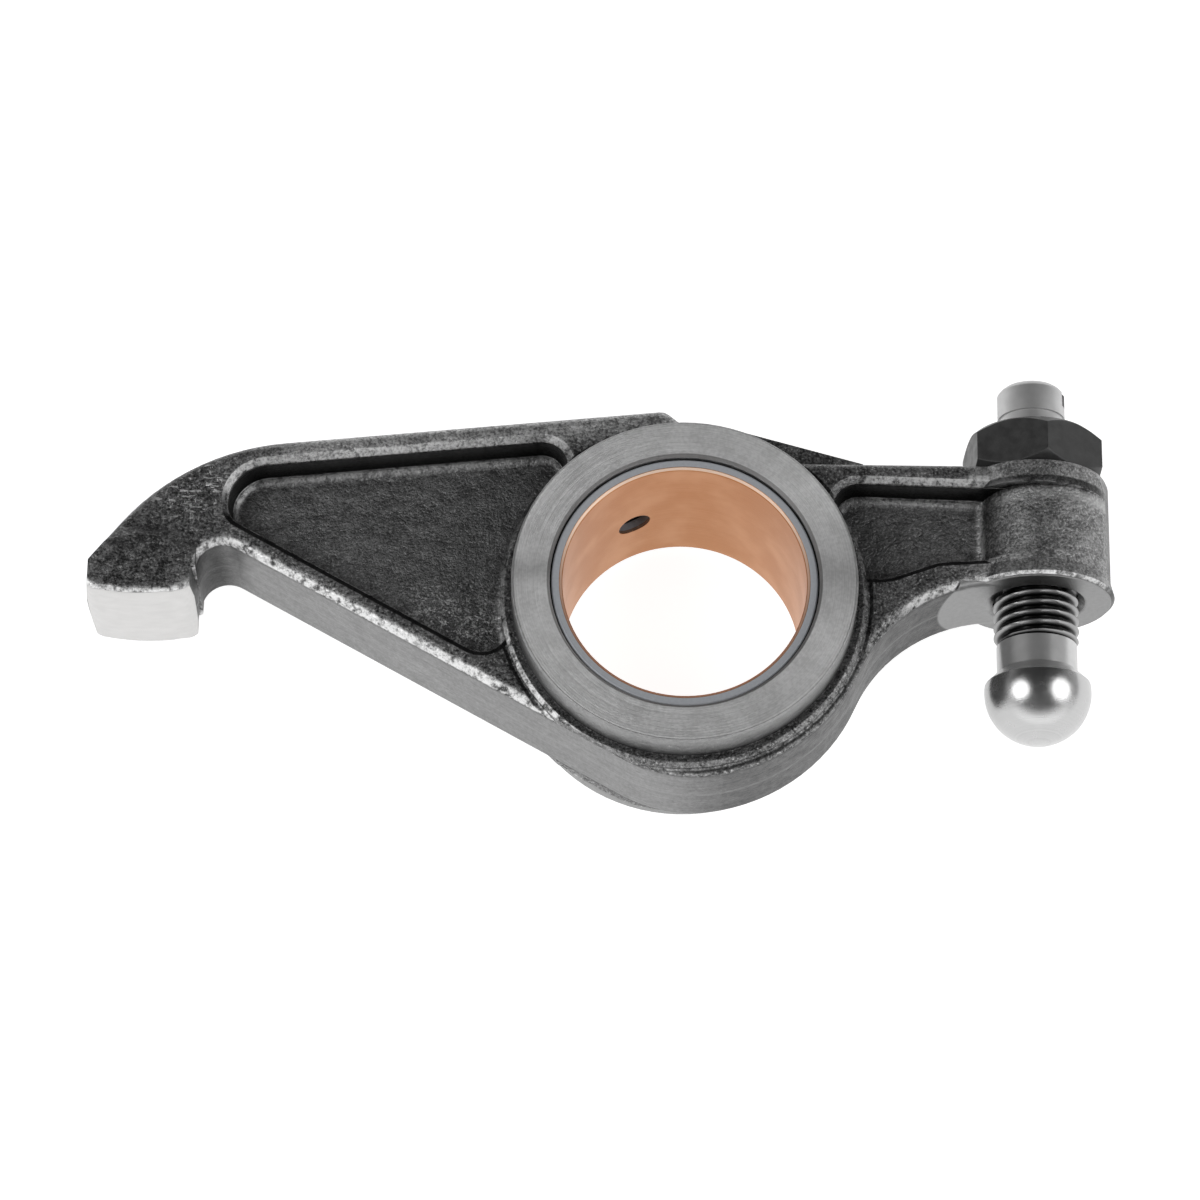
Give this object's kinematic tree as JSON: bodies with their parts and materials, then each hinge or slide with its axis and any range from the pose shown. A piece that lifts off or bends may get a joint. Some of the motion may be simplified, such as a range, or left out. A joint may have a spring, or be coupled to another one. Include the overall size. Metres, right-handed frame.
{
  "type": "rocker arm",
  "caption": "Forged rocker arm with pocketed sides, a bushed shaft bore, a hooked nose with a ground pad, and a ball-ended adjusting screw held by a lock nut.",
  "frame": {"origin": "centre of the shaft bore at mid-width of the boss", "axes": "+Z along the bore axis, +X towards the adjusting screw, +Y towards the lock nut side; the pad and the ball face -Y"},
  "size_m": [0.1446, 0.0625, 0.0288],
  "materials": {
    "forged_steel": "forged skin, blasted and oiled, with machined ring faces and a ground pad",
    "bush_bronze": "bored bronze lining",
    "screw_steel": "turned, hardened and polished at the ball",
    "nut_steel": "black oxide, satin"
  },
  "bodies": {
    "arm": {"rocker_arm": "forged_steel", "shaft_bush": "bush_bronze"},
    "screw": {"adjusting_screw": "screw_steel"},
    "nut": {"lock_nut": "nut_steel"}
  },
  "joints": [
    {"name": "screw_travel", "type": "slide", "parent": "arm", "child": "screw", "axis": [0, 1, 0], "range_m": [-0.002, 0.005]},
    {"name": "nut_turn", "type": "hinge", "parent": "arm", "child": "nut", "pos_m": [0.04965, 0.02102, 0], "axis": [0, 1, 0], "range_deg": [0, 360]}
  ]
}
